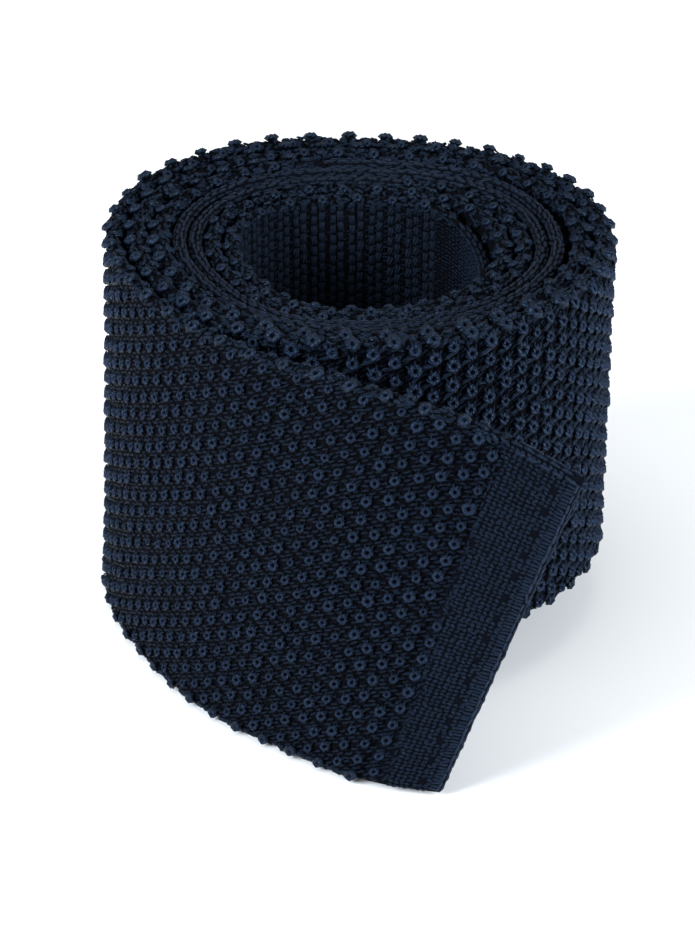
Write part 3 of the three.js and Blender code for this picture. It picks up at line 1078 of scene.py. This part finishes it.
# The last stitches before the end are long and smooth, with small gaps, and the cast-off
# strands lie along the edge itself
CAST_OFF_ROWS = [
    {"back": 1.15, "pitch": 0.62, "out": 0.76, "size": 0.8, "lie": 0.0},
    {"back": 0.35, "pitch": 1.9, "out": 0.66, "size": 1.05, "lie": 1.57},
    {"back": 0.0, "pitch": 2.0, "out": 0.24, "size": 1.15, "lie": 1.57},
]
for index, row in enumerate(CAST_OFF_ROWS):
    levels = (np.arange(int((FRONT_WIDTH - 2) / row["pitch"])) + 0.5) * row["pitch"]
    turn = turn_of(np.full(len(levels), cloth_length - row["back"]))
    for flip, face in ((1, "outer"), (-1, "inner")):
        finish_stitches(scatter(
            f"front_end_cast_off_{face}_{index + 1}", edge_yarn, turn,
            (1 + levels) / FRONT_WIDTH, row["out"], size=row["size"], wobble=0.1, flip=flip,
            seed=51 + index + 10 * flip, lie=row["lie"]), band_yarn,
            front_band_pieces)

# Short upright strands join the ring stitches to the band
JOINING_STRANDS = 38
JOINING_BACK = 0.7
JOINING_PROUD = 0.88
joining_levels = (np.arange(JOINING_STRANDS) + 1.5) / (JOINING_STRANDS + 3)
joining_turns = turn_of(band_edge(joining_levels) - JOINING_BACK)
for flip, face in ((1, "outer"), (-1, "inner")):
    finish_stitches(scatter(
        f"front_blade_joining_strands_{face}", short_strand, joining_turns, joining_levels,
        JOINING_PROUD, wobble=0.3, flip=flip, seed=61 + flip, lie=math.pi / 2), low_strand_shade_yarn,
        front_band_pieces)

for ground, pieces, start, stop in (
        (band_ground, front_band_pieces, band_turn, CLOTH_END),
        (rear_band_ground, rear_band_pieces, 0.0, REAR_BAND_TURNS)):
    band_flat, band_area = flat_cut(start, stop)

# The modelled stitches have all been copied, and are taken away
for model in models:
    bpy.data.objects.remove(model)


# Floor, light and camera
# A plain pale floor, just under the lowest strands of the cloth, soft light from above and
# from both sides, and the camera at the photograph's angle.

FLOOR_LEVEL = -0.0004
clear_selection()
bpy.ops.mesh.primitive_plane_add(size=6, location=(0, 0, FLOOR_LEVEL))
floor = bpy.context.object
floor.name = "floor"
floor_finish, floor_shader = new_material("floor_finish", 0.9)[:2]
floor_shader.inputs["Base Color"].default_value = (0.86, 0.86, 0.86, 1)
floor.data.materials.append(floor_finish)

world = bpy.data.worlds.new("studio")
world.use_nodes = True
world.node_tree.nodes["Background"].inputs["Color"].default_value = (1, 1, 1, 1)
world.node_tree.nodes["Background"].inputs["Strength"].default_value = 0.4
bpy.context.scene.world = world
bpy.context.scene.view_settings.view_transform = "Standard"

COOL_WHITE = (0.86, 0.93, 1.0)
LIGHTS = [
    {"name": "above", "at": (-0.1, -0.1, 0.9), "size": 0.6, "power": 2.2, "colour": (1, 1, 1)},
    {"name": "left", "at": (-0.7, -0.45, 0.5), "size": 0.5, "power": 16.5, "colour": COOL_WHITE},
    {"name": "right", "at": (0.8, -0.35, 0.4), "size": 0.5, "power": 13.5, "colour": COOL_WHITE},
]
LIT_PLACE = Vector((0, 0, 0.03))
for row in LIGHTS:
    lamp = bpy.data.lights.new(f"light_{row['name']}", "AREA")
    lamp.shape = "DISK"
    lamp.size = row["size"]
    lamp.energy = row["power"]
    lamp.color = row["colour"]
    light = bpy.data.objects.new(lamp.name, lamp)
    bpy.context.scene.collection.objects.link(light)
    light.location = row["at"]
    towards = LIT_PLACE - Vector(row["at"])
    light.rotation_euler = towards.to_track_quat("-Z", "Y").to_euler()

eye = Vector((-0.57, -435.9, 268.3)) / 1000
aim = Vector((-0.57, 12.22, 21.95)) / 1000
roll = math.radians(0.4)
ahead = (aim - eye).normalized()
right = ahead.cross(Vector((0, 0, 1))).normalized()
upward = right.cross(ahead)
side = right * math.cos(roll) + upward * math.sin(roll)
top = upward * math.cos(roll) - right * math.sin(roll)
lens = bpy.data.cameras.new("camera")
lens.lens = 123.19
lens.sensor_width = 36
lens.clip_start = 0.01
camera = bpy.data.objects.new("camera", lens)
bpy.context.scene.collection.objects.link(camera)
camera.matrix_world = Matrix((
    (side.x, top.x, -ahead.x, eye.x), (side.y, top.y, -ahead.y, eye.y),
    (side.z, top.z, -ahead.z, eye.z), (0, 0, 0, 1)))
bpy.context.scene.camera = camera

bpy.context.view_layer.update()
